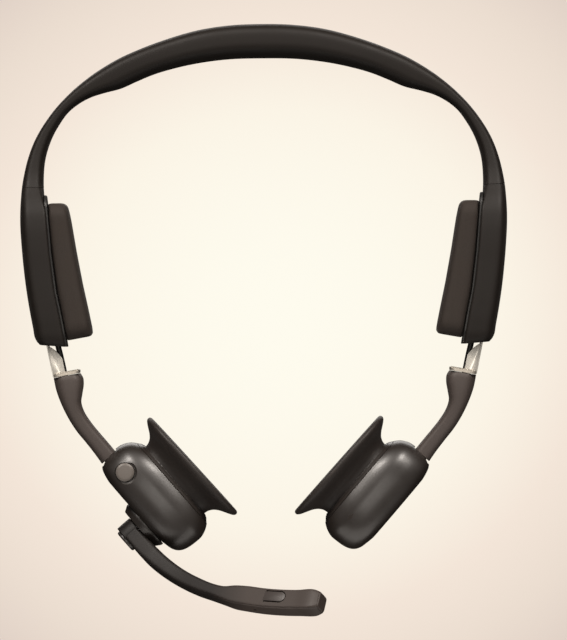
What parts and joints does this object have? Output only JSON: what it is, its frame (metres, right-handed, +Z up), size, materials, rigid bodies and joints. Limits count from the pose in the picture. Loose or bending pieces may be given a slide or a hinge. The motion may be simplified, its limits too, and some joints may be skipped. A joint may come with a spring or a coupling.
{
  "type": "bone conduction headset",
  "caption": "Over-head bone conduction headset: padded band, sliding metal arms, cheek pods on hinges and a swinging microphone boom.",
  "frame": {"origin": "underside of the crown, where the headband rests on top of the head", "axes": "+Z up when worn, -Y towards the headset's front, +X to the right of someone looking at that front; the boom's pod is on -X"},
  "size_m": [0.1508, 0.0626, 0.1826],
  "materials": {
    "soft_skin": "soft-touch matte, very dark brown",
    "cushion": "dark foam pad with a fine matte cover",
    "arm_plastic": "satin dark grey",
    "pod_plastic": "satin dark brown-grey",
    "silicone": "matte silicone",
    "button": "satin",
    "bright_metal": "polished stainless steel",
    "spring_steel": "plain",
    "collar_metal": "satin pale champagne",
    "cable": "matte",
    "copper": "enamelled copper wire",
    "magnet": "plated",
    "board": "solder mask",
    "battery_wrap": "foil pouch",
    "inner_plastic": "plain"
  },
  "bodies": {
    "band": {"headband_skin": "soft_skin", "band_spring_strip": "spring_steel", "band_flat_cable": "cable", "battery_right": "battery_wrap", "main_board_left": "board", "bluetooth_chip_left": "inner_plastic", "charge_socket_left": "bright_metal", "temple_housing_left": "soft_skin", "temple_plate_left": "inner_plastic", "temple_cushion_left": "cushion", "plate_screw_left": "spring_steel", "slider_guide_left": "inner_plastic", "temple_housing_right": "soft_skin", "temple_plate_right": "inner_plastic", "temple_cushion_right": "cushion", "plate_screw_right": "spring_steel", "slider_guide_right": "inner_plastic"},
    "slider_left": {"slider_rail_left": "bright_metal", "slider_lead_left": "cable", "arm_collar_left": "collar_metal", "lower_arm_left": "arm_plastic", "pod_hinge_pin_left": "spring_steel"},
    "pod_left": {"pod_shell_left": "pod_plastic", "pod_cover_left": "pod_plastic", "contact_pad_left": "silicone", "transducer_yoke_left": "spring_steel", "transducer_magnet_left": "magnet", "voice_coil_left": "copper", "transducer_plate_left": "spring_steel", "boom_base": "pod_plastic", "boom_axle": "spring_steel", "main_switch": "inner_plastic", "volume_up_switch": "inner_plastic", "volume_down_switch": "inner_plastic"},
    "slider_right": {"slider_rail_right": "bright_metal", "slider_lead_right": "cable", "arm_collar_right": "collar_metal", "lower_arm_right": "arm_plastic", "pod_hinge_pin_right": "spring_steel"},
    "pod_right": {"pod_shell_right": "pod_plastic", "pod_cover_right": "pod_plastic", "contact_pad_right": "silicone", "transducer_yoke_right": "spring_steel", "transducer_magnet_right": "magnet", "voice_coil_right": "copper", "transducer_plate_right": "spring_steel"},
    "boom": {"boom_arm": "arm_plastic", "boom_cap": "pod_plastic", "boom_washer": "spring_steel", "mic_cover": "arm_plastic", "mic_board": "board", "microphone": "magnet", "mute_switch": "inner_plastic"},
    "main_button": {"main_button": "button"},
    "volume_up": {"volume_up_button": "button"},
    "volume_down": {"volume_down_button": "button"},
    "mute": {"mute_button": "button"}
  },
  "joints": [
    {"name": "slider_left", "type": "slide", "parent": "band", "child": "slider_left", "axis": [0.1994, 0, -0.9799], "range_m": [-0.0055, 0.017]},
    {"name": "slider_right", "type": "slide", "parent": "band", "child": "slider_right", "axis": [-0.1994, 0, -0.9799], "range_m": [-0.0055, 0.017]},
    {"name": "pod_tilt_left", "type": "hinge", "parent": "slider_left", "child": "pod_left", "pos_m": [-0.04619, 0, -0.12624], "axis": [0, 1, 0], "range_deg": [-6, 6]},
    {"name": "pod_tilt_right", "type": "hinge", "parent": "slider_right", "child": "pod_right", "pos_m": [0.04619, 0, -0.12624], "axis": [0, 1, 0], "range_deg": [-6, 6]},
    {"name": "boom_swing", "type": "hinge", "parent": "pod_left", "child": "boom", "pos_m": [-0.0405, 0, -0.14676], "axis": [-0.757, 0, -0.6534], "range_deg": [-90, 100]},
    {"name": "main_button_press", "type": "slide", "parent": "pod_left", "child": "main_button", "axis": [0, 1, 0], "range_m": [0, 0.0005], "stiffness_N_per_m": 800},
    {"name": "volume_up_press", "type": "slide", "parent": "pod_left", "child": "volume_up", "axis": [0, -1, 0], "range_m": [0, 0.0005], "stiffness_N_per_m": 800},
    {"name": "volume_down_press", "type": "slide", "parent": "pod_left", "child": "volume_down", "axis": [0, -1, 0], "range_m": [0, 0.0005], "stiffness_N_per_m": 800},
    {"name": "mute_press", "type": "slide", "parent": "boom", "child": "mute", "axis": [0.42, 0.7661, -0.4866], "range_m": [0, 0.0004], "stiffness_N_per_m": 800}
  ]
}
